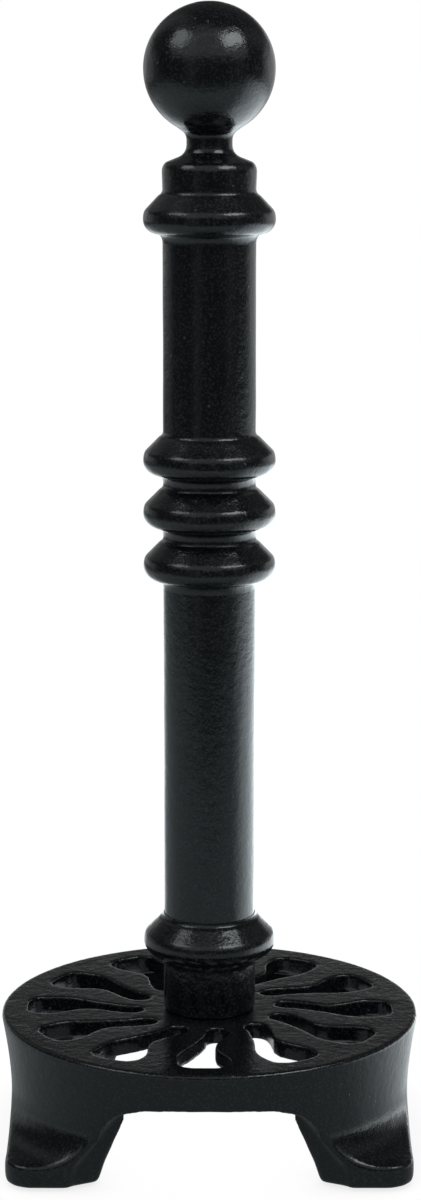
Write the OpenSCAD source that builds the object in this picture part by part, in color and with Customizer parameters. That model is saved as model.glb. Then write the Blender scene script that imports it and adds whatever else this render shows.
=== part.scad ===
// Table-top roll stand in the shape of a street bollard.
// A slotted cast base on four toes carries a post of turned collars and two plain tubes.
// A tie rod inside the post pulls every post piece together; one screw holds the post to the base.
// Millimetres, +Z up, origin at the middle of the base on the surface it stands on, front at -Y.

/* [Base] */
// Diameter of the round top plate
base_d = 120; // [114:1:122]
// Height of the plate's top face above the surface the stand rests on
base_h = 38; // [36:1:44]
// Thickness of the top plate
plate_t = 5; // [4.8:0.2:7]
// Thickness of the skirt wall
wall_t = 4.5; // [3.5:0.5:4.5]
// How far the skirt draws in below the rim
skirt_draw = 2.6; // [1.4:0.2:2.6]

/* [Slots] */
// Number of swirl slots through the plate
slot_count = 12; // [6:1:12]
// Radius at which a slot's neck begins
slot_r_in = 19; // [17:0.5:22]
// Width of the plain land between the slots and the rim
rim_land = 7.6; // [7.6:0.2:12]
// Width of a slot's neck, near the hub
slot_neck_w = 6; // [4:0.2:6.4]
// Width of a slot's lobe, near the rim
slot_lobe_w = 14.4; // [10:0.2:15]
// Sideways swing of a slot from neck to lobe
slot_swing = 4.8; // [0:0.2:5]

/* [Arches] */
// Width of the front and back arches where they turn down
arch_top_w = 47; // [38:1:48]
// Width of the arches at their feet
arch_foot_w = 61; // [52:1:64]
// Height of the arches at mid-span
arch_h = 27; // [22:0.5:28]
// How far the legs' bevelled faces open outwards from an arch at its foot
flank_w = 7; // [3:0.5:8]

/* [Toes] */
// Width across the toes, side to side
toe_span_x = 114; // [108:0.2:114]
// Depth across the toes, front to back
toe_span_y = 95.6; // [92:0.2:100]
// Thickness of a toe
toe_t = 7; // [6:0.5:9]
// Radius of the hollow scoop between the skirt and a toe
scoop_r = 10; // [6:0.5:11]

/* [Post] */
// Diameter of both plain tubes
tube_d = 26; // [24:0.5:27]
// Wall thickness of the tubes
tube_wall = 2; // [1.5:0.25:3]
// Diameter of the beads on the collars and rings
bead_d = 37.2; // [35:0.2:38]
// Height of the lowest bead's middle above the plate
hub_bead_z = 21.2; // [20:0.2:24]
// Height of the middle ring's bead above the plate
ring_mid_z = 145.2; // [130:0.2:160]
// Spacing of the three rings
ring_pitch = 14.9; // [14.7:0.1:17]
// Height of the cap's bead above the plate
cap_bead_z = 227; // [215:0.5:245]
// Diameter of the ball
ball_d = 36.4; // [34:0.2:37]
// Gap from the cap's bead to the middle of the ball
ball_rise = 40.1; // [39.5:0.1:44]

/* [Fasteners] */
// Diameter of the tie rod inside the post
rod_d = 6; // [5:0.5:6]
// Diameter of the countersunk screw under the hub
screw_d = 8; // [6:1:8]
// Length of the countersunk screw, head included
screw_len = 20; // [16:1:20]
// Diameter of the pads under the toes
pad_d = 10; // [8:0.5:12]

/* [Hidden] */
$fn = 96;
eps = 0.5;              // overrun of a cut past the face it leaves
fit = 0.1;              // radial clearance of a spigot in a tube
thread_gap = 0.05;      // radial clearance standing for a screw thread

rim_r = base_d / 2;
rim_round = 0.8;        // rounding of the plate's rim
draw_h = 22;            // depth below the plate over which the skirt draws in
skirt_r = rim_r - skirt_draw;
slot_r_out = rim_r - rim_land;
plate_z = base_h - plate_t;
pad_proud = 0.6;        // how far the pads stand out of the toes
pad_t = 2;
pocket_z = pad_t;       // top of a pad's pocket
toe_x = toe_span_x / 2;
toe_y = toe_span_y / 2;
toe_corner_r = 8;
toe_top = pad_proud + toe_t;
leg_t = 9;              // thickness of the legs, measured in from the skirt's face
leg_y = 26;             // the legs lie beyond this depth, in front of and behind the middle
flank_out_y = 46.5;     // depth at which a leg's bevelled face begins
flank_in_y = 43;        // depth at which it ends, on the inside of the leg
pad_x = toe_x - 11.5;
pad_y = toe_y - 10.5;
side_relief = 1.4;      // clearance under the skirt between the toes at the sides
arch_corner_r = 5;
arch_rise = 1.7;        // how much the top of an arch bows up

tube_r = tube_d / 2;
bore_r = tube_r - tube_wall;
spigot_r = bore_r - fit;
spigot_len = 10;
bead_r = bead_d / 2;
bead_up = 7.4;          // from a bead's middle up to the plain post
bead_down = 7.2;        // from a bead's middle down to the plain post
hub_r = tube_r + 0.2;
rod_r = rod_d / 2;
rod_clear_r = rod_r + 0.4;
screw_r = screw_d / 2;
screw_head_r = screw_r * 1.95;

hub_top = base_h + hub_bead_z + bead_up;
ring_low = base_h + ring_mid_z - ring_pitch - bead_down;
ring_high = base_h + ring_mid_z + ring_pitch + bead_up;
cap_z = base_h + cap_bead_z;
cap_low = cap_z - bead_down;
cap_drum_r = tube_r + 0.2;
cap_drum_top = cap_z + 12.4;
neck_r = 6.4;
neck_z = cap_z + 19.4;
ball_r = ball_d / 2;
ball_z = cap_z + ball_rise;
ball_neck_top = ball_z - sqrt(ball_r * ball_r - 81);
rod_bottom = base_h + 19;
rod_top = ball_z + 2;

// Points of an arc about c, from angle a0 to a1 in n steps
function arc(c, r, a0, a1, n) =
    [for (i = [0:n]) let (a = a0 + (a1 - a0) * i / n) [c[0] + r * cos(a), c[1] + r * sin(a)]];

// Smooth step from 0 to 1 as u runs from 0 to 1
function ease(u) = let (v = max(0, min(1, u))) v * v * (3 - 2 * v);

// Outline of one bead from the post below it to the post above it, about its middle at height z.
// Coves blend both ends into the post. A tight corner parts the bead's nose from its sloping shoulder.
function bead_outline(z, post_r, r) =
    let (foot = 3.4, nose = 4, belly = 7, corner = 2, cove = 1.7)
    let (turn = 16, reach = belly - corner)
    concat(
        arc([post_r + foot, z - bead_down], foot, 180, 138, 5),
        arc([r - nose, z - 0.7], nose, -70, -6, 8),
        arc([r - belly, z - 0.75], belly, 4, turn - 4, 2),
        arc([r - belly + reach * cos(turn), z - 0.75 + reach * sin(turn)], corner, turn, 46, 5),
        arc([post_r + cove, z + bead_up], cove, 250, 180, 5)
    );

// Half width of one slot at radius x: a round-ended neck that opens into a squarish lobe
function slot_half_w(x) =
    let (run = (x - slot_r_in) / (slot_r_out - slot_r_in))
    let (w = (slot_neck_w + (slot_lobe_w - slot_neck_w) * ease((run - 0.4) / 0.4)) / 2)
    let (neck_cap = min(1, (x - slot_r_in) / (slot_neck_w / 2)))
    let (lobe_cap = min(1, (slot_r_out - x) / (slot_lobe_w * 0.38)))
    w * sqrt(1 - pow(1 - neck_cap, 2)) * pow(1 - pow(1 - lobe_cap, 3), 1 / 3);

// Middle line of one slot: the neck leads, the waist trails and the lobe comes part of the way back
function slot_mid(x) =
    let (run = (x - slot_r_in) / (slot_r_out - slot_r_in))
    slot_swing * (0.48 - ease((run - 0.08) / 0.5) + 0.22 * ease((run - 0.6) / 0.25));

// Outline of one slot, along +X
function slot_outline(n) =
    let (xs = [for (i = [0:n]) slot_r_in + (slot_r_out - slot_r_in) * (1 - cos(180 * i / n)) / 2])
    concat(
        [for (i = [0:n]) [xs[i], slot_mid(xs[i]) + slot_half_w(xs[i])]],
        [for (i = [n - 1:-1:1]) [xs[i], slot_mid(xs[i]) - slot_half_w(xs[i])]]
    );

// Profile of the skirt's outer face: upright, then flaring out to the rounded rim
function skirt_face() =
    concat(
        [[skirt_r, pad_proud]],
        [for (i = [0:9]) let (u = i / 10)
            [skirt_r + skirt_draw * pow(u, 1.6), base_h - draw_h + u * (draw_h - rim_round)]],
        arc([rim_r - rim_round, base_h - rim_round], rim_round, 0, 90, 5)
    );

// Cup of the base: top plate and skirt in one
module base_cup() {
    inner_r = skirt_r - wall_t;
    rotate_extrude() polygon(concat(
        [[0, plate_z], [inner_r, plate_z], [inner_r, pad_proud]],
        skirt_face(),
        [[0, base_h]]));
}

// The skirt grows thicker on the inside where it comes down as legs, beside the arches
module leg_backs() {
    inner_r = skirt_r - leg_t;
    outer_r = skirt_r - wall_t / 2;
    intersection() {
        rotate_extrude() polygon([
            [inner_r, pad_proud], [outer_r, pad_proud], [outer_r, plate_z - 1],
            [skirt_r - wall_t, plate_z - 1], [inner_r, plate_z - leg_t]]);
        union() {
            translate([-rim_r, leg_y, 0]) cube([2 * rim_r, rim_r, base_h]);
            translate([-rim_r, -leg_y - rim_r, 0]) cube([2 * rim_r, rim_r, base_h]);
        }
    }
}

// Four toes: a flared ring under the skirt, trimmed to a rounded rectangle
module toes() {
    flare = 16;
    intersection() {
        rotate_extrude() polygon(concat(
            [[skirt_r - wall_t, pad_proud], [skirt_r + flare, pad_proud], [skirt_r + flare, toe_top]],
            arc([skirt_r + scoop_r, toe_top + scoop_r], scoop_r, 270, 180, 8),
            [[skirt_r - wall_t, toe_top + scoop_r]]));
        toe_plan();
    }
}

// Rounded rectangle that bounds the toes in plan
module toe_plan() {
    inner_x = toe_x - toe_corner_r;
    inner_y = toe_y - toe_corner_r;
    linear_extrude(height = base_h) union() {
        square([2 * inner_x, 2 * toe_y], center = true);
        square([2 * toe_x, 2 * inner_y], center = true);
        for (sx = [-1, 1], sy = [-1, 1]) translate([sx * inner_x, sy * inner_y]) circle(r = toe_corner_r);
    }
}

// Outline of an arch. A spread widens it towards its foot and softens its upper corners.
module arch_outline(spread) {
    half_top = arch_top_w / 2;
    shoulder_z = arch_h - arch_rise;
    corner_r = arch_corner_r + spread;
    crown_r = (half_top * half_top + arch_rise * arch_rise) / (2 * arch_rise);
    crown_span = asin((half_top - arch_corner_r) / crown_r);
    foot = arch_foot_w / 2;
    side = concat(
        [[foot + 0.8 + spread, -eps], [foot - 1.5 + 1.3 * spread, toe_top - 1]],
        arc([half_top - arch_corner_r, shoulder_z - corner_r], corner_r, -15 + 3 * spread, 80, 9),
        arc([0, arch_h - crown_r], crown_r, 90 - crown_span, 90, 4));
    polygon(concat(side, [for (i = [len(side) - 2:-1:0]) [-side[i][0], side[i][1]]]));
}

// An arch's outline extruded in depth, from one distance in front of the middle to another
module arch_slab(spread, near_y, far_y) {
    translate([0, -far_y, 0]) rotate([90, 0, 0])
        linear_extrude(height = near_y - far_y) arch_outline(spread);
}

// Arches through the front and back of the skirt, with a bevelled face on each leg
module arch_cut() {
    arch_slab(0, 2 * rim_r, -2 * rim_r);
    for (turn = [0, 180]) rotate([0, 0, turn]) {
        arch_slab(flank_w, 2 * rim_r, flank_out_y);
        hull() {
            arch_slab(flank_w, flank_out_y + 0.1, flank_out_y);
            arch_slab(0, flank_in_y, flank_in_y - 0.1);
        }
    }
}

module base_casting() {
    color("#17191b") difference() {
        union() {
            base_cup();
            leg_backs();
            toes();
        }
        arch_cut();
        translate([0, 0, plate_z - eps]) for (i = [0:slot_count - 1]) rotate([0, 0, i * 360 / slot_count])
            linear_extrude(height = plate_t + 2 * eps) polygon(slot_outline(22));
        translate([-2 * rim_r, -12, 0]) cube([4 * rim_r, 24, pad_proud + side_relief]);
        translate([0, 0, plate_z - eps]) cylinder(r = screw_r + 0.25, h = plate_t + 2 * eps);
        translate([0, 0, plate_z]) countersink(screw_head_r + 0.2, 0.25);
        for (sx = [-1, 1], sy = [-1, 1]) translate([sx * pad_x, sy * pad_y, 0])
            cylinder(d = pad_d + 0.3, h = pocket_z);
    }
}

// Cone of a 90 degree countersunk head, widest at the bottom
module countersink(r, gap) {
    cylinder(r1 = r, r2 = screw_r + gap, h = r - screw_r - gap);
}

module hub_collar() {
    color("#17191b") difference() {
        rotate_extrude() polygon(concat(
            [[0, base_h], [hub_r - 0.6, base_h], [hub_r, base_h + 0.6]],
            bead_outline(base_h + hub_bead_z, hub_r, bead_r + 0.3),
            [[tube_r, hub_top], [spigot_r, hub_top], [spigot_r, hub_top + spigot_len - 1],
             [spigot_r - 1, hub_top + spigot_len], [0, hub_top + spigot_len]]));
        translate([0, 0, base_h - eps])
            cylinder(r = screw_r + thread_gap, h = screw_len - plate_t + 2 + eps);
        translate([0, 0, base_h]) cylinder(r = rod_r + thread_gap, h = hub_top + spigot_len - base_h + eps);
    }
}

// Plain tube between two heights
module tube(z0, z1) {
    color("#1b1e20") translate([0, 0, z0]) difference() {
        cylinder(r = tube_r, h = z1 - z0);
        translate([0, 0, -eps]) cylinder(r = bore_r, h = z1 - z0 + 2 * eps);
    }
}

module lower_tube() {
    tube(hub_top, ring_low);
}

module upper_tube() {
    tube(ring_high, cap_low);
}

module ring_trio() {
    first = base_h + ring_mid_z - ring_pitch;
    color("#17191b") difference() {
        rotate_extrude() polygon(concat(
            [[0, ring_low - spigot_len], [spigot_r - 1, ring_low - spigot_len],
             [spigot_r, ring_low - spigot_len + 1], [spigot_r, ring_low]],
            [for (k = [0:2]) each bead_outline(first + k * ring_pitch, tube_r, bead_r)],
            [[spigot_r, ring_high], [spigot_r, ring_high + spigot_len - 1],
             [spigot_r - 1, ring_high + spigot_len], [0, ring_high + spigot_len]]));
        translate([0, 0, ring_low - spigot_len - eps])
            cylinder(r = rod_clear_r, h = ring_high - ring_low + 2 * (spigot_len + eps));
    }
}

module cap_collar() {
    shoulder_r = 3.2;
    foot_r = 3.4;
    color("#17191b") difference() {
        rotate_extrude() polygon(concat(
            [[0, cap_low - spigot_len], [spigot_r - 1, cap_low - spigot_len],
             [spigot_r, cap_low - spigot_len + 1], [spigot_r, cap_low]],
            bead_outline(cap_z, tube_r, bead_r - 0.2),
            arc([cap_drum_r - shoulder_r, cap_drum_top], shoulder_r, 0, 50, 6),
            arc([neck_r + foot_r, neck_z], foot_r, 250, 180, 4),
            [[0, neck_z]]));
        translate([0, 0, cap_low - spigot_len - eps])
            cylinder(r = rod_clear_r, h = neck_z - cap_low + spigot_len + 2 * eps);
    }
}

module ball_finial() {
    flare = 2.8;
    color("#17191b") difference() {
        rotate_extrude() polygon(concat(
            [[0, neck_z], [neck_r, neck_z], [neck_r, neck_z + 1.6]],
            arc([neck_r + flare, neck_z + 1.6], flare, 180, 118, 5),
            arc([0, ball_z], ball_r, asin((ball_neck_top - ball_z) / ball_r), 90, 40)));
        translate([0, 0, neck_z - eps]) cylinder(r = rod_r + thread_gap, h = rod_top - neck_z + 3 + eps);
    }
}

module tie_rod() {
    tip = 0.8;
    color("#a9adaf") translate([0, 0, rod_bottom]) {
        cylinder(r1 = rod_r - tip, r2 = rod_r, h = tip);
        translate([0, 0, tip]) cylinder(r = rod_r, h = rod_top - rod_bottom - 2 * tip);
        translate([0, 0, rod_top - rod_bottom - tip]) cylinder(r1 = rod_r, r2 = rod_r - tip, h = tip);
    }
}

module base_screw() {
    socket_af = screw_d * 0.625;
    color("#a9adaf") difference() {
        translate([0, 0, plate_z]) union() {
            countersink(screw_head_r, 0);
            cylinder(r = screw_r, h = screw_len - 1);
            translate([0, 0, screw_len - 1]) cylinder(r1 = screw_r, r2 = screw_r - 1, h = 1);
        }
        translate([0, 0, plate_z - eps]) cylinder(d = socket_af / cos(30), h = 3 + eps, $fn = 6);
    }
}

module foot_pads() {
    color("#2a2a2a") for (sx = [-1, 1], sy = [-1, 1]) translate([sx * pad_x, sy * pad_y, 0])
        cylinder(d = pad_d, h = pad_t);
}

base_casting();
hub_collar();
lower_tube();
ring_trio();
upper_tube();
cap_collar();
ball_finial();
tie_rod();
base_screw();
foot_pads();
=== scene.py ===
"""Looks of the bollard-shaped roll stand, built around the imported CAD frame. Metres, +Z up."""
import math

import bmesh
import bpy
import numpy as np
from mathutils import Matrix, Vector, noise


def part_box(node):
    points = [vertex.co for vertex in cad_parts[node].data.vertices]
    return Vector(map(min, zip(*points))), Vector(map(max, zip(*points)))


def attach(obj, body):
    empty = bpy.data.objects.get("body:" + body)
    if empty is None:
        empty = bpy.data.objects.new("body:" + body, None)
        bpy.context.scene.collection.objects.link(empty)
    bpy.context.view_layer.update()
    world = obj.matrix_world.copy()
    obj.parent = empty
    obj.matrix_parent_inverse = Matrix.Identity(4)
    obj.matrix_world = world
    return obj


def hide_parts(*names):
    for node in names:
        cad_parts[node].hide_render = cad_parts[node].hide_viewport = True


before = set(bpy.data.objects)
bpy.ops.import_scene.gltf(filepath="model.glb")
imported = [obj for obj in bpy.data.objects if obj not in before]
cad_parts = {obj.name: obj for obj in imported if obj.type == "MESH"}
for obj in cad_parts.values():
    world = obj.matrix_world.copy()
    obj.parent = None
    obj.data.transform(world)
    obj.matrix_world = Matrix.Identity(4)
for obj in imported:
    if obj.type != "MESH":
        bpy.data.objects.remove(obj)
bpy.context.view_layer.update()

MM = 0.001

# Turned pieces, in order up the post
POST = ["hub_collar", "lower_tube", "ring_trio", "upper_tube", "cap_collar", "ball_finial"]
BORE_LIMIT = 4.4 * MM       # any radius below this belongs to a bore
ON_AXIS = 1e-5              # any radius below this is the axis itself
SAME_HEIGHT = 1e-6          # heights no further apart than this are one height
TURN_STEPS = 256            # facets round a turned piece
OUTLINE_STEP = 0.25 * MM    # spacing of points along a turned outline
EDGE_BLUR = 0.32 * MM       # how far a turned edge is softened along its outline
SHARP_EDGE = 50             # degrees; an edge that turns by more than this stays crisp

# Base casting
VOXEL = 0.5 * MM
EDGE_PASSES = 12            # smoothing that breaks every edge of the casting
TOE_PASSES = 45             # further smoothing that rounds the toes
TOE_TOP = 13 * MM           # the toes are rounded fully below this height
TOE_BLEND = 7 * MM          # and less and less over this much above it

# Unevenness of the enamelled surfaces: two waves, with heights in millimetres
BROAD_LENGTH = 17 * MM
BROAD_HEIGHT = 0.06
CLOSE_LENGTH = 6 * MM
CLOSE_HEIGHT = 0.03
CLOSE_SHIFT = Vector((7, 3, 5))     # takes the close wave from another part of the noise
TURNED_INSET = 0.07 * MM            # surfaces are drawn in, so that most of a wave stays inside the CAD
CAST_INSET = 0.05 * MM

# Black enamel: noise scales per metre, relief relative to the orange peel, and linear colours
PEEL_SCALE = 420.0
GRAIN_SCALE = 1500.0
SAG_SCALE = (240, 240, 36)
SPECK_SCALE = 300.0
CLOUD_SCALE = 60.0
GRAIN_RELIEF = 0.5
SAG_RELIEF = 0.5
DUST_RELIEF = 0.5
PIT_RELIEF = 0.9
RELIEF_DEPTH = 0.11 * MM
ENAMEL_DARK = (0.0014, 0.0021, 0.0026, 1)
ENAMEL_PALE = (0.0038, 0.0050, 0.0056, 1)
# painted highlight: the pale colour put on the grain's peaks as glints, and how much of it is mixed in
PAINTED_GLINT_COLOUR = (0.024, 0.027, 0.030, 1)
PAINTED_GLINT_SHARE = 0.65
DUST_COLOUR = (0.22, 0.23, 0.23, 1)
DUST_SHARE = 0.18
ENAMEL_ROUGHNESS = (0.09, 0.17)
GRAIN_ROUGHNESS = 0.08
COOL = (0.93, 1.0, 1.03, 1)         # tint of the enamel's reflections

# Studio
WHITE = (1, 1, 1, 1)
FLOOR_FRONT = -0.70
FLOOR_BACK = 2.6
FLOOR_SIDE = 1.6
SHADOW_REACH = 0.03                 # the contact shadow fades within this distance
BRIGHT_BEARING = math.radians(40)   # the tabletop mirrors brightest this far right of straight back
ROOM_LEVEL = 0.07
WINDOW_LEVEL = 0.45
LIGHT_DISTANCE = 1.2                # from the top of the ball
CAMERA_PLACE = (0.0003, -0.840, 0.317)
CAMERA_DIP = 10.75                  # degrees below level
LENS = 91.0
SENSOR = 36.0


# ---------------------------------------------------------------- shapes

def points_of(node):
    """Vertices of a CAD node as an array."""
    return np.array([v.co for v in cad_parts[node].data.vertices], float).reshape(-1, 3)


def turned_outline(node):
    """Points (r, z) up the outer side of a turned CAD node."""
    co = points_of(node)
    radius = np.hypot(co[:, 0], co[:, 1])
    level = np.round(co[:, 2], 6)
    levels = np.unique(level)
    outer = []
    for z in levels:
        found = sorted(set(np.round(radius[level == z], 5)))
        rim = [r for r in found if r > BORE_LIMIT]
        if not rim and z == levels[-1] and found[0] < ON_AXIS:
            rim = [0.0]
        if node.endswith("tube"):
            rim = [max(rim)]
        if outer and len(rim) > 1:
            rim = sorted(rim, key=lambda r: abs(r - outer[-1][0]))
            rim = [rim[0], rim[-1]]
        elif len(rim) > 1:
            rim = [max(rim)]
        outer += [(r, z) for r in rim]
    return outer


def bore_outline(node, low, high):
    """Points (r, z) down the bore of a turned CAD node, from its top to its bottom."""
    co = points_of(node)
    radius = np.hypot(co[:, 0], co[:, 1])
    if node.endswith("tube"):
        inner = radius.min()
        return [(inner, high), (inner, low)]
    rounded = {(round(r, 5), round(z, 6)) for r, z in zip(radius, co[:, 2]) if ON_AXIS < r < BORE_LIMIT}
    bore = sorted(rounded, key=lambda p: (-p[1], p[0]))
    if node == "ball_finial":
        bore = [(0.0, bore[0][1])] + bore
    return bore


def resample(points, step):
    """The same polyline with a point at least every step."""
    out = [np.array(points[0], float)]
    for a, b in zip(points, points[1:]):
        a = np.array(a, float)
        b = np.array(b, float)
        count = max(1, int(math.ceil(np.linalg.norm(b - a) / step)))
        out += [a + (b - a) * (i + 1) / count for i in range(count)]
    return np.array(out)


def soften(points, blur):
    """Rounds the corners of an evenly spaced polyline and keeps its two ends."""
    passes = max(1, int(round(2 * (blur / OUTLINE_STEP) ** 2)))
    points = points.copy()
    for _ in range(passes):
        points[1:-1] = points[1:-1] * 0.5 + (points[:-2] + points[2:]) * 0.25
    return points


def cast_wave(p):
    """How far the enamelled surface stands off its true shape at point p, in metres."""
    broad = noise.noise(Vector(p) / BROAD_LENGTH)
    close = noise.noise(Vector(p) / CLOSE_LENGTH + CLOSE_SHIFT)
    return (BROAD_HEIGHT * broad + CLOSE_HEIGHT * close) * MM


def lathe(name, points, closed):
    """Mesh turned about Z from points (r, z). A point on the axis becomes a pole."""
    verts = []
    rows = []
    faces = []
    for r, z in points:
        if r < ON_AXIS:
            rows.append([len(verts)] * TURN_STEPS)
            verts.append((0, 0, z))
            continue
        rows.append(list(range(len(verts), len(verts) + TURN_STEPS)))
        for k in range(TURN_STEPS):
            a = 2 * math.pi * k / TURN_STEPS
            verts.append((r * math.cos(a), r * math.sin(a), z))
    pairs = list(zip(rows, rows[1:])) + ([(rows[-1], rows[0])] if closed else [])
    for low, high in pairs:
        for k in range(TURN_STEPS):
            n = (k + 1) % TURN_STEPS
            ring = [low[k], low[n], high[n], high[k]]
            faces.append(list(dict.fromkeys(ring)))
    mesh = bpy.data.meshes.new(name)
    mesh.from_pydata(verts, [], faces)
    return placed(name, mesh)


def placed(name, data):
    """A new object in the scene."""
    made = bpy.data.objects.new(name, data)
    bpy.context.scene.collection.objects.link(made)
    return made


def finish_mesh(piece):
    """Outward normals, smooth shading and crisp edges where the surface turns sharply."""
    bm = bmesh.new()
    bm.from_mesh(piece.data)
    bmesh.ops.recalc_face_normals(bm, faces=bm.faces)
    for face in bm.faces:
        face.smooth = True
    for edge in bm.edges:
        if len(edge.link_faces) == 2:
            edge.smooth = edge.calc_face_angle() < math.radians(SHARP_EDGE)
    bm.to_mesh(piece.data)
    bm.free()


def wave_surface(piece, low, high):
    """Moves the outer vertices of a turned piece between two heights in and out by the cast wave."""
    for v in piece.data.vertices:
        x, y, z = v.co
        r = math.hypot(x, y)
        if r < BORE_LIMIT or not low - SAME_HEIGHT <= z <= high + SAME_HEIGHT:
            continue
        scale = 1 + (cast_wave(v.co) - TURNED_INSET) / r
        v.co = (x * scale, y * scale, z)


def seams():
    """Heights at which one post piece ends and the next begins, from bottom to top."""
    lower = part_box("lower_tube")
    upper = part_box("upper_tube")
    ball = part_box("ball_finial")
    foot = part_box("hub_collar")[0]
    return [foot.z, lower[0].z, lower[1].z, upper[0].z, upper[1].z, ball[0].z, ball[1].z]


def turned_piece(node, low, high):
    """Finely turned copy of a CAD node whose visible run lies between two heights."""
    outer = turned_outline(node)
    run = [p for p in outer if low - SAME_HEIGHT <= p[1] <= high + SAME_HEIGHT]
    before = [p for p in outer if p[1] < low - SAME_HEIGHT]
    after = [p for p in outer if p[1] > high + SAME_HEIGHT]
    if before:
        run = run[1:] if run[0][0] < run[1][0] and run[0][1] == run[1][1] else run
        before.append((before[-1][0], low))
    if after:
        run = run[:-1] if run[-1][0] < run[-2][0] and run[-1][1] == run[-2][1] else run
        after.insert(0, (after[0][0], high))
    visible = [tuple(p) for p in soften(resample(run, OUTLINE_STEP), EDGE_BLUR)]
    shape = before + visible + after
    bore = bore_outline(node, shape[0][1], shape[-1][1])
    closed = shape[-1][0] > ON_AXIS
    piece = lathe(node + "_enamelled", shape + bore if closed else bore[::-1] + shape, closed)
    finish_mesh(piece)
    wave_surface(piece, low, high)
    return piece


def bake(piece):
    """Applies a piece's modifiers to its mesh."""
    evaluated = piece.evaluated_get(bpy.context.evaluated_depsgraph_get())
    mesh = bpy.data.meshes.new_from_object(evaluated)
    piece.modifiers.clear()
    piece.data = mesh


def add_smoothing(piece, name, passes):
    """A modifier that evens out a piece's surface by a number of passes."""
    made = piece.modifiers.new(name, "SMOOTH")
    made.factor = 0.5
    made.iterations = passes
    return made


def weigh_toes(piece):
    """Marks the vertices low enough to belong to the toes, less and less with height."""
    toes = piece.vertex_groups.new(name="toes")
    for v in piece.data.vertices:
        weight = min(1.0, (TOE_TOP + TOE_BLEND - v.co.z) / TOE_BLEND)
        if weight > 0:
            toes.add([v.index], weight, "REPLACE")


def cast_base():
    """The base casting with the soft edges, rounded toes and slightly uneven faces of a sand casting."""
    piece = placed("base_casting_enamelled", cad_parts["base_casting"].data.copy())
    remesh = piece.modifiers.new("voxels", "REMESH")
    remesh.mode = "VOXEL"
    remesh.voxel_size = VOXEL
    bake(piece)
    weigh_toes(piece)
    add_smoothing(piece, "soft_edges", EDGE_PASSES)
    add_smoothing(piece, "round_toes", TOE_PASSES).vertex_group = "toes"
    bake(piece)
    mesh = piece.data
    normals = np.zeros(len(mesh.vertices) * 3, np.float32)
    mesh.vertices.foreach_get("normal", normals)
    for v, n in zip(mesh.vertices, normals.reshape(-1, 3)):
        v.co += Vector(n) * (cast_wave(v.co) - CAST_INSET)
    for face in mesh.polygons:
        face.use_smooth = True
    return piece


# ---------------------------------------------------------------- shader nodes

def new_tree(name):
    """A procedural material and its empty node tree."""
    material = bpy.data.materials.new(name)
    material.use_nodes = True
    tree = material.node_tree
    tree.nodes.clear()
    return material, tree


def connect(tree, socket, value):
    """Feeds an input from another node, or gives it a fixed value."""
    if isinstance(value, bpy.types.NodeSocket):
        tree.links.new(value, socket)
    else:
        socket.default_value = value


def add(tree, kind, **settings):
    """A shader node. Settings that name an input feed it, and the rest are properties."""
    made = tree.nodes.new("ShaderNode" + kind)
    for key, value in settings.items():
        title = key.replace("_", " ").lower()
        socket = next((s for s in made.inputs if s.name.lower() == title and s.enabled), None)
        if socket is not None:
            connect(tree, socket, value)
        else:
            setattr(made, key, value)
    return made


def operate(tree, kind, operation, *values):
    """A Math or VectorMath node that works on the given values in order."""
    made = tree.nodes.new("ShaderNode" + kind)
    made.operation = operation
    for socket, value in zip(made.inputs, values):
        connect(tree, socket, value)
    return made


def plus(tree, a, b):
    """The sum of two numbers."""
    return operate(tree, "Math", "ADD", a, b).outputs[0]


def times(tree, a, b):
    """The product of two numbers."""
    return operate(tree, "Math", "MULTIPLY", a, b).outputs[0]


def ramp(tree, fac, low, high, to_low=0.0, to_high=1.0):
    """fac mapped smoothly from low..high to to_low..to_high."""
    made = tree.nodes.new("ShaderNodeMapRange")
    made.interpolation_type = "SMOOTHSTEP"
    tree.links.new(fac, made.inputs["Value"])
    limits = {"From Min": low, "From Max": high, "To Min": to_low, "To Max": to_high}
    for title, value in limits.items():
        made.inputs[title].default_value = value
    return made.outputs[0]


def noise_at(tree, place, scale, detail, **settings):
    """Noise of the given scale, from 0 to 1."""
    return add(tree, "TexNoise", Vector=place, Scale=scale, Detail=detail, **settings).outputs[0]


def stretched(tree, place, scale):
    """Positions scaled by a different amount along each axis."""
    made = add(tree, "Mapping", Vector=place)
    made.inputs["Scale"].default_value = scale
    return made.outputs[0]


def show(tree, surface):
    """Makes a shader the tree's surface."""
    out = add(tree, "OutputMaterial")
    tree.links.new(surface.outputs[0], out.inputs["Surface"])


# ---------------------------------------------------------------- materials

def specks(tree, place):
    """Scattered dust under the enamel and pinholes in it, as two masks."""
    cells = add(tree, "TexVoronoi", Vector=place, Scale=SPECK_SCALE, Randomness=1.0)
    pick = add(tree, "SeparateColor", Color=cells.outputs["Color"])
    spot = ramp(tree, cells.outputs["Distance"], 0.06, 0.13, 1.0, 0.0)
    dust = times(tree, spot, ramp(tree, pick.outputs[0], 0.80, 0.82))
    pit = times(tree, spot, ramp(tree, pick.outputs[1], 0.88, 0.90))
    return dust, pit


def enamel_relief(tree, place, grain, dust, pit):
    """Normals of the enamel: orange peel, casting grain, sags, dust and pinholes."""
    peel = noise_at(tree, place, PEEL_SCALE, 2.0, Roughness=0.5)
    sag = noise_at(tree, stretched(tree, place, SAG_SCALE), 1.0, 1.0)
    height = plus(tree, peel, times(tree, grain, GRAIN_RELIEF))
    height = plus(tree, height, times(tree, sag, SAG_RELIEF))
    height = plus(tree, height, times(tree, dust, DUST_RELIEF))
    height = operate(tree, "Math", "SUBTRACT", height, times(tree, pit, PIT_RELIEF)).outputs[0]
    return add(tree, "Bump", Strength=1.0, Distance=RELIEF_DEPTH, Height=height).outputs[0]


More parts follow.
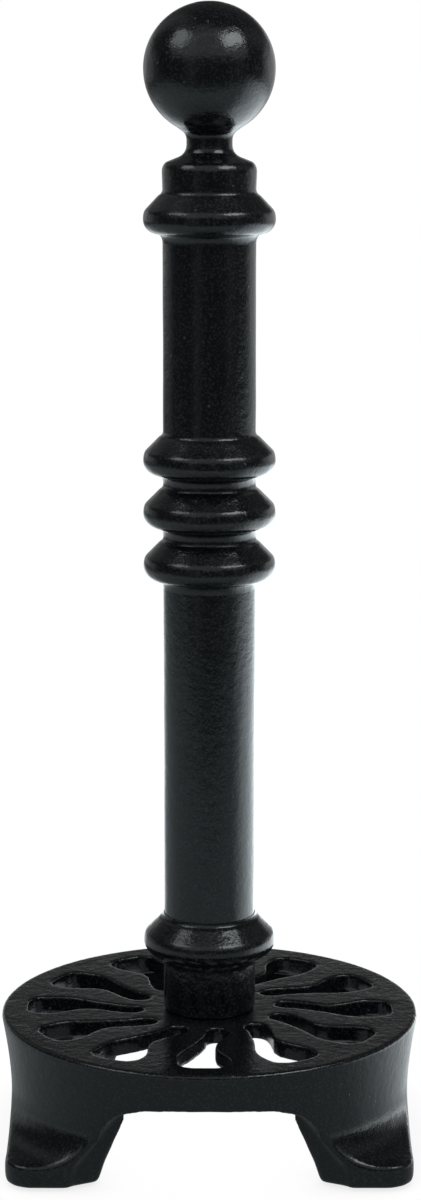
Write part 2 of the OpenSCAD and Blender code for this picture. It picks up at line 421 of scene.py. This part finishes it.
def enamel_colour(tree, grain, cloud, dust):
    """Near-black with painted highlights, as pale glints on the grain's peaks, and pale dust."""
    tint = add(tree, "MixRGB", Fac=cloud, Color1=ENAMEL_DARK, Color2=ENAMEL_PALE).outputs[0]
    # painted highlight: pale glints mixed into the colour where the grain peaks
    painted_glint = times(tree, ramp(tree, grain, 0.50, 0.64), PAINTED_GLINT_SHARE)
    tint_and_painted_glints = add(tree, "MixRGB", Fac=painted_glint, Color1=tint, Color2=PAINTED_GLINT_COLOUR).outputs[0]
    dusty = times(tree, dust, DUST_SHARE)
    return add(tree, "MixRGB", Fac=dusty, Color1=tint_and_painted_glints, Color2=DUST_COLOUR).outputs[0]


def enamel():
    """Gloss black enamel brushed over cast iron."""
    material, tree = new_tree("gloss_black_enamel")
    place = add(tree, "TexCoord").outputs["Object"]
    grain = noise_at(tree, place, GRAIN_SCALE, 2.0, Roughness=0.6)
    cloud = noise_at(tree, place, CLOUD_SCALE, 3.0, Roughness=0.55)
    dust, pit = specks(tree, place)
    rough = plus(tree, ramp(tree, cloud, 0.3, 0.7, *ENAMEL_ROUGHNESS), times(tree, grain, GRAIN_ROUGHNESS))
    surface = add(tree, "BsdfPrincipled", Base_Color=enamel_colour(tree, grain, cloud, dust),
                  Roughness=rough, Normal=enamel_relief(tree, place, grain, dust, pit))
    surface.inputs["Specular Tint"].default_value = COOL
    show(tree, surface)
    return material


def zinc():
    """Bright zinc plate with fine drawn lines along the rod."""
    material, tree = new_tree("bright_zinc")
    place = add(tree, "TexCoord").outputs["Object"]
    lines = noise_at(tree, stretched(tree, place, (2400, 2400, 120)), 1.0, 3.0)
    blotch = noise_at(tree, place, 350.0, 3.0)
    tint = add(tree, "MixRGB", Fac=blotch, Color1=(0.46, 0.48, 0.50, 1), Color2=(0.66, 0.67, 0.66, 1))
    bump = add(tree, "Bump", Strength=0.5, Distance=0.02 * MM, Height=lines).outputs[0]
    surface = add(tree, "BsdfPrincipled", Base_Color=tint.outputs[0], Metallic=1.0,
                  Roughness=ramp(tree, blotch, 0.3, 0.7, 0.22, 0.42), Normal=bump)
    show(tree, surface)
    return material


def rubber():
    """Matte black rubber with a fine moulded grain."""
    material, tree = new_tree("pad_rubber")
    place = add(tree, "TexCoord").outputs["Object"]
    grain = noise_at(tree, place, 1800.0, 2.0)
    scuff = noise_at(tree, place, 300.0, 3.0)
    tint = add(tree, "MixRGB", Fac=scuff, Color1=(0.018, 0.018, 0.018, 1), Color2=(0.05, 0.05, 0.048, 1))
    bump = add(tree, "Bump", Strength=0.6, Distance=0.05 * MM, Height=grain).outputs[0]
    show(tree, add(tree, "BsdfPrincipled", Base_Color=tint.outputs[0], Roughness=0.8, Normal=bump))
    return material


# ---------------------------------------------------------------- studio

def mirrored_floor(tree):
    """Brightness of the tabletop as the enamel mirrors it, by distance and bearing from the post."""
    place = add(tree, "NewGeometry").outputs["Position"]
    bearing = operate(tree, "VectorMath", "NORMALIZE", place).outputs["Vector"]
    reach = operate(tree, "VectorMath", "LENGTH", place).outputs["Value"]
    brightest = (math.sin(BRIGHT_BEARING), math.cos(BRIGHT_BEARING), 0)
    lean = operate(tree, "VectorMath", "DOT_PRODUCT", bearing, brightest).outputs["Value"]
    depth = add(tree, "SeparateXYZ", Vector=place).outputs[1]
    even = ramp(tree, reach, 0.05, 0.30, 0.28, 0.50)
    extra = times(tree, ramp(tree, lean, 0.10, 1.0, 0.0, 2.2), ramp(tree, reach, 0.08, 0.22, 0.25, 1.0))
    fading = ramp(tree, reach, 0.45, 1.4, 1.0, 0.22)
    near_edge = ramp(tree, depth, -0.48, -0.37, 0.38, 1.0)
    return times(tree, plus(tree, even, extra), times(tree, fading, near_edge))


def studio_floor():
    """White tabletop with a faint contact shadow. The enamel mirrors it as greys."""
    mesh = bpy.data.meshes.new("floor")
    near = [(-FLOOR_SIDE, FLOOR_FRONT, 0), (FLOOR_SIDE, FLOOR_FRONT, 0)]
    far = [(FLOOR_SIDE, FLOOR_BACK, 0), (-FLOOR_SIDE, FLOOR_BACK, 0)]
    mesh.from_pydata(near + far, [], [(0, 1, 2, 3)])
    floor = placed("floor", mesh)
    material, tree = new_tree("pale_tabletop")
    rays = add(tree, "LightPath")
    shade = add(tree, "AmbientOcclusion", Distance=SHADOW_REACH).outputs["AO"]
    seen = add(tree, "Emission", Color=WHITE, Strength=ramp(tree, shade, 0.0, 0.9, 0.80, 1.0))
    mirrored = add(tree, "Emission", Color=COOL, Strength=mirrored_floor(tree))
    both = add(tree, "MixShader", Fac=rays.outputs["Is Camera Ray"])
    tree.links.new(mirrored.outputs[0], both.inputs[1])
    tree.links.new(seen.outputs[0], both.inputs[2])
    show(tree, both)
    mesh.materials.append(material)


def mirrored_room(tree):
    """Brightness of the room as the enamel mirrors it: a window in front, a low wall behind, two bars."""
    axes = add(tree, "SeparateXYZ", Vector=add(tree, "TexCoord").outputs["Generated"])
    across, along, up = axes.outputs[0], axes.outputs[1], axes.outputs[2]
    above = ramp(tree, up, 0.27, 0.38)
    in_front = ramp(tree, along, -0.38, -0.14, 1.0, 0.0)
    window = times(tree, times(tree, above, in_front), WINDOW_LEVEL)
    behind = ramp(tree, along, 0.1, 0.6)
    low = ramp(tree, up, 0.12, 0.30, 1.0, 0.0)
    wall = times(tree, times(tree, behind, low), ramp(tree, across, -0.3, 0.3, 0.30, 0.60))
    left_bar = times(tree, ramp(tree, across, -0.75, -0.50), ramp(tree, across, -0.50, -0.25, 0.13, 0.0))
    right_bar = times(tree, ramp(tree, across, 0.55, 0.80), ramp(tree, across, 0.80, 0.95, 0.10, 0.0))
    room = plus(tree, plus(tree, left_bar, right_bar), ROOM_LEVEL)
    return plus(tree, operate(tree, "Math", "MAXIMUM", window, wall).outputs[0], room)


def studio_world():
    """White behind the object for the camera, and a dim room for everything else."""
    world = bpy.data.worlds.new("studio")
    bpy.context.scene.world = world
    world.use_nodes = True
    tree = world.node_tree
    tree.nodes.clear()
    rays = add(tree, "LightPath")
    level = mirrored_room(tree)
    colour = add(tree, "MixRGB", Fac=rays.outputs["Is Camera Ray"], Color1=level, Color2=WHITE)
    lit = add(tree, "Background", Color=colour.outputs[0], Strength=1.0)
    out = add(tree, "OutputWorld")
    tree.links.new(lit.outputs[0], out.inputs["Surface"])


def soft_box(name, direction, width, height, radiance):
    """A rectangular studio light aimed at the ball from a direction (right, toward the camera, up)."""
    right, toward, up = direction
    ball = Vector((0, 0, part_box("ball_finial")[1].z))
    light = bpy.data.lights.new(name, "AREA")
    light.shape = "RECTANGLE"
    light.size = width
    light.size_y = height
    light.energy = radiance * math.pi * width * height
    lamp = placed(name, light)
    lamp.location = ball + Vector((right, -toward, up)).normalized() * LIGHT_DISTANCE
    lamp.rotation_euler = (ball - lamp.location).to_track_quat("-Z", "Y").to_euler()


def camera():
    """Camera a little above the ball's height, looking down at the post."""
    data = bpy.data.cameras.new("camera")
    data.sensor_width = SENSOR
    data.lens = LENS
    data.clip_start = 0.05
    data.clip_end = 30
    eye = placed("camera", data)
    eye.location = CAMERA_PLACE
    eye.rotation_euler = (math.radians(90 - CAMERA_DIP), 0, 0)
    bpy.context.scene.camera = eye


# ---------------------------------------------------------------- assembly

def enamelled_pieces():
    """The seven black pieces, by the CAD node that each replaces."""
    heights = seams()
    made = {node: turned_piece(node, heights[i], heights[i + 1]) for i, node in enumerate(POST)}
    made["base_casting"] = cast_base()
    return made


def build():
    """Every piece of the stand, with its material."""
    black = enamel()
    bright = zinc()
    pad = rubber()
    for node, piece in enamelled_pieces().items():
        piece.data.materials.clear()
        piece.data.materials.append(black)
        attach(piece, "root")
        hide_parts(node)
    for node, material in (("tie_rod", bright), ("base_screw", bright), ("foot_pads", pad)):
        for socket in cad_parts[node].material_slots:
            socket.material = material


build()
studio_floor()
studio_world()
soft_box("left_box", (-0.69, 0.22, 0.69), width=0.60, height=0.50, radiance=2.2)
soft_box("right_box", (0.57, 0.38, 0.73), width=0.75, height=0.50, radiance=4.6)
camera()
bpy.context.scene.view_settings.view_transform = "Standard"
bpy.context.scene.view_settings.look = "None"
